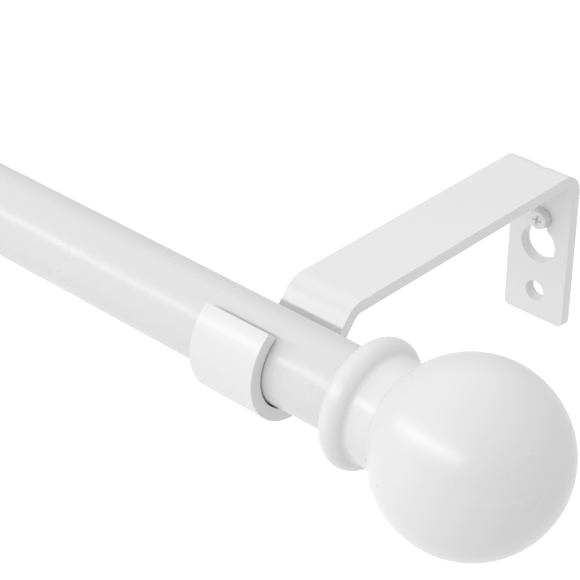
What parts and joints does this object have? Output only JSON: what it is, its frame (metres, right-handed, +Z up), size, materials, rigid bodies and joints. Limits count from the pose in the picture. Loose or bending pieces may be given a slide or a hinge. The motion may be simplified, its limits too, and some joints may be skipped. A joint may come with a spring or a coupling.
{
  "type": "telescoping curtain rod with brackets",
  "caption": "White telescoping curtain rod with ball finials, lying in bent-strap wall brackets with J-shaped cups, set screws and keyhole plates.",
  "frame": {"origin": "centre of the right-hand bracket's lower screw hole, at the wall surface", "axes": "+X along the rod towards the right-hand finial, +Y into the wall, +Z up"},
  "size_m": [1.0804, 0.1313, 0.058],
  "materials": {
    "white_steel": "satin white enamel",
    "white_finial": "satin white enamel over a turned body",
    "white_plastic": "matt",
    "screw_steel": "zinc plated",
    "insert_brass": "plain"
  },
  "bodies": {
    "wall_brackets": {"bracket_right": "white_steel", "bracket_centre": "white_steel", "bracket_left": "white_steel", "wall_screw_right": "screw_steel", "wall_screw_centre": "screw_steel", "wall_screw_left": "screw_steel"},
    "large_tube": {"outer_tube": "white_steel", "tube_end_ring": "white_plastic", "end_plug_right": "white_plastic", "plug_insert_right": "insert_brass"},
    "small_tube": {"inner_tube": "white_steel", "guide_bush": "white_plastic", "end_plug_left": "white_plastic", "plug_insert_left": "insert_brass"},
    "finial_right_thread": {"finial_stud_right": "screw_steel"},
    "finial_right": {"finial_collar_right": "white_finial", "finial_ball_right": "white_finial"},
    "finial_left_thread": {"finial_stud_left": "screw_steel"},
    "finial_left": {"finial_collar_left": "white_finial", "finial_ball_left": "white_finial"},
    "set_screw_right": {"set_screw_right": "screw_steel"},
    "set_screw_centre": {"set_screw_centre": "screw_steel"},
    "set_screw_left": {"set_screw_left": "screw_steel"}
  },
  "joints": [
    {"name": "rod_lift_out", "type": "slide", "parent": "wall_brackets", "child": "large_tube", "axis": [0, 0.6691, 0.7431], "range_m": [0, 0.05]},
    {"name": "rod_extend", "type": "slide", "parent": "large_tube", "child": "small_tube", "axis": [-1, 0, 0], "range_m": [-0.014, 0.66]},
    {"name": "finial_right_advance", "type": "slide", "parent": "large_tube", "child": "finial_right_thread", "axis": [1, 0, 0], "range_m": [0, 0.011]},
    {"name": "finial_right_turn", "type": "hinge", "parent": "finial_right_thread", "child": "finial_right", "pos_m": [0.05, -0.099, 0.0305], "axis": [1, 0, 0], "range_deg": [0, 3960]},
    {"name": "finial_left_advance", "type": "slide", "parent": "small_tube", "child": "finial_left_thread", "axis": [-1, 0, 0], "range_m": [0, 0.011]},
    {"name": "finial_left_turn", "type": "hinge", "parent": "finial_left_thread", "child": "finial_left", "pos_m": [-0.98, -0.099, 0.0305], "axis": [-1, 0, 0], "range_deg": [0, 3960]},
    {"name": "set_screw_right_advance", "type": "slide", "parent": "wall_brackets", "child": "set_screw_right", "axis": [0, -0.766, 0.6428], "range_m": [-0.0015, 0.001]},
    {"name": "set_screw_centre_advance", "type": "slide", "parent": "wall_brackets", "child": "set_screw_centre", "axis": [0, -0.766, 0.6428], "range_m": [-0.0015, 0.001]},
    {"name": "set_screw_left_advance", "type": "slide", "parent": "wall_brackets", "child": "set_screw_left", "axis": [0, -0.766, 0.6428], "range_m": [-0.0015, 0.001]}
  ],
  "couplings": [
    {"joint": "finial_right_advance", "follows": "finial_right_turn", "m_per_rad": 0.00015915},
    {"joint": "finial_left_advance", "follows": "finial_left_turn", "m_per_rad": 0.00015915}
  ]
}
